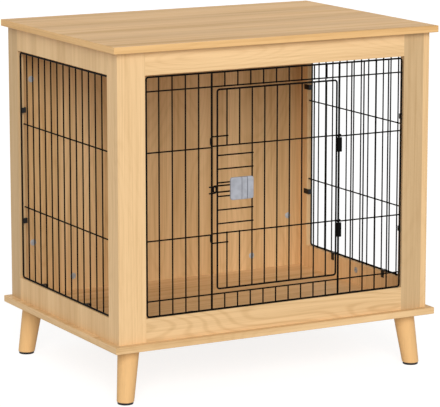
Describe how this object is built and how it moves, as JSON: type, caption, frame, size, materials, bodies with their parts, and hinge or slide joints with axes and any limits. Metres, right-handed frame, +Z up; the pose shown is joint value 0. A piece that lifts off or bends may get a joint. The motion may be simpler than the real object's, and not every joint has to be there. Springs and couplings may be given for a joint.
{
  "type": "dog crate end table",
  "caption": "Wooden dog crate end table on splayed legs, with wire panels at the front and sides and a hinged wire door with a sliding latch.",
  "frame": {"origin": "on the floor under the middle of the footprint", "axes": "+X to the right seen from the front, +Y to the back, +Z up; the door faces -Y"},
  "size_m": [0.808, 0.586, 0.78],
  "materials": {
    "oak_laminate": "light oak-look laminate, satin",
    "black_wire": "black coated steel wire",
    "plain_steel": "plain zinc-coated steel",
    "cam_zinc": null,
    "beech": "plain beech dowel",
    "black_plastic": "black moulded plastic",
    "latch_grey": "grey moulded plastic"
  },
  "bodies": {
    "cabinet": {"top_board": "oak_laminate", "base_board": "oak_laminate", "back_panel": "oak_laminate", "left_front_stile": "oak_laminate", "left_rear_stile": "oak_laminate", "left_top_rail": "oak_laminate", "left_bottom_rail": "oak_laminate", "right_front_stile": "oak_laminate", "right_rear_stile": "oak_laminate", "right_top_rail": "oak_laminate", "right_bottom_rail": "oak_laminate", "front_left_stile": "oak_laminate", "front_right_stile": "oak_laminate", "front_top_rail": "oak_laminate", "front_bottom_rail": "oak_laminate", "front_legs": "oak_laminate", "rear_legs": "oak_laminate", "front_leg_glides": "black_plastic", "rear_leg_glides": "black_plastic", "left_panel_holders": "black_plastic", "right_panel_holders": "black_plastic", "front_panel_holders": "black_plastic", "left_wire_panel": "black_wire", "right_wire_panel": "black_wire", "front_wire_panel": "black_wire", "back_panel_cam_locks": "cam_zinc", "frame_cam_locks": "cam_zinc", "back_panel_cam_bolts": "plain_steel", "frame_cam_bolts": "plain_steel", "leg_bolts": "plain_steel", "side_frame_dowels": "beech", "front_frame_dowels": "beech"},
    "door": {"door_grille": "black_wire", "hinge_clips": "black_wire"},
    "latch": {"latch_handle": "latch_grey", "latch_slider": "latch_grey", "latch_bolt": "plain_steel", "latch_screws": "plain_steel"}
  },
  "joints": [
    {"name": "door_hinge", "type": "hinge", "parent": "cabinet", "child": "door", "pos_m": [0.16, -0.26985, 0.4492], "axis": [0, 0, 1], "range_deg": [0, 165]},
    {"name": "latch_slide", "type": "slide", "parent": "door", "child": "latch", "axis": [1, 0, 0], "range_m": [0, 0.016]}
  ]
}
